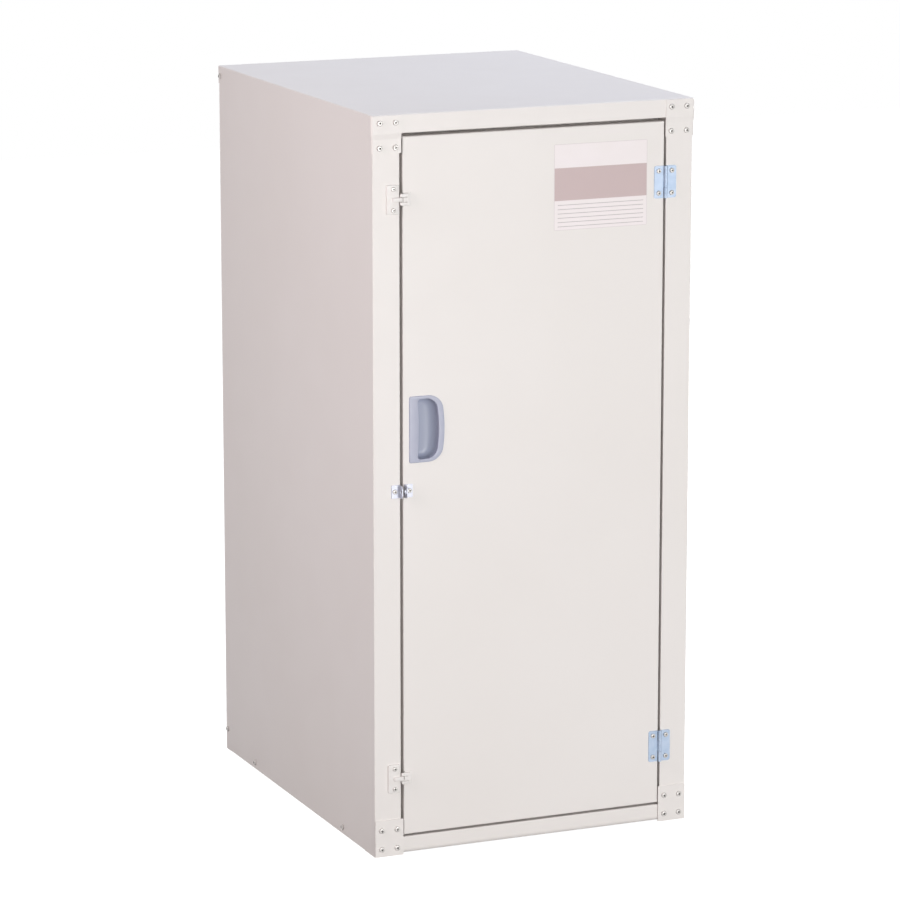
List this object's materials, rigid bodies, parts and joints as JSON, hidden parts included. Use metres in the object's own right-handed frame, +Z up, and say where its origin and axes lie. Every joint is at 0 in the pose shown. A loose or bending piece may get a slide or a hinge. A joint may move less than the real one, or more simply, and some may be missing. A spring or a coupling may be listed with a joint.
{
  "type": "rice storage cabinet",
  "caption": "Tall free-standing steel rice storage cabinet with a full-height door hinged on the right, a flush pull, catches and padlock eyes.",
  "frame": {"origin": "middle of the outline on the floor, below the cabinet's centre", "axes": "+Z up, +X to the right seen from the front, +Y from the door to the back"},
  "size_m": [0.5372, 0.674, 1.15],
  "materials": {
    "cabinet_paint": "satin ivory baked paint on folded steel sheet",
    "zinc_plate": "bright zinc plate with a blue cast",
    "pull_plastic": "blue-grey moulded plastic",
    "catch_plastic": "ivory moulded plastic",
    "gasket_rubber": "dark soft rubber strip"
  },
  "bodies": {
    "cabinet": {"back_panel": "cabinet_paint", "bottom_rail": "cabinet_paint", "cabinet_screws": "zinc_plate", "catch_lower_keeper": "catch_plastic", "catch_upper_keeper": "catch_plastic", "corner_plate_bottom_left": "cabinet_paint", "corner_plate_bottom_right": "cabinet_paint", "corner_plate_top_left": "cabinet_paint", "corner_plate_top_right": "cabinet_paint", "door_gasket": "gasket_rubber", "floor_bearer_front": "cabinet_paint", "floor_bearer_rear": "cabinet_paint", "floor_panel": "cabinet_paint", "frame_fitting_screws": "zinc_plate", "head_rail": "cabinet_paint", "hinge_lower_frame_leaf": "zinc_plate", "hinge_lower_pin": "zinc_plate", "hinge_lower_post_plate": "zinc_plate", "hinge_upper_frame_leaf": "zinc_plate", "hinge_upper_pin": "zinc_plate", "hinge_upper_post_plate": "zinc_plate", "padlock_eye_post": "zinc_plate", "side_panel_left": "cabinet_paint", "side_panel_right": "cabinet_paint", "top_cap": "cabinet_paint"},
    "door": {"catch_lower_fork": "catch_plastic", "catch_upper_fork": "catch_plastic", "door_fitting_screws": "zinc_plate", "door_liner": "cabinet_paint", "door_skin": "cabinet_paint", "door_stiffener": "cabinet_paint", "flush_pull": "pull_plastic", "hinge_lower_door_leaf": "zinc_plate", "hinge_lower_door_plate": "zinc_plate", "hinge_upper_door_leaf": "zinc_plate", "hinge_upper_door_plate": "zinc_plate", "padlock_eye_door": "zinc_plate"}
  },
  "joints": [
    {"name": "door_hinge", "type": "hinge", "parent": "cabinet", "child": "door", "pos_m": [0.2192, -0.3268, 0.5735], "axis": [0, 0, 1], "range_deg": [0, 165]}
  ]
}
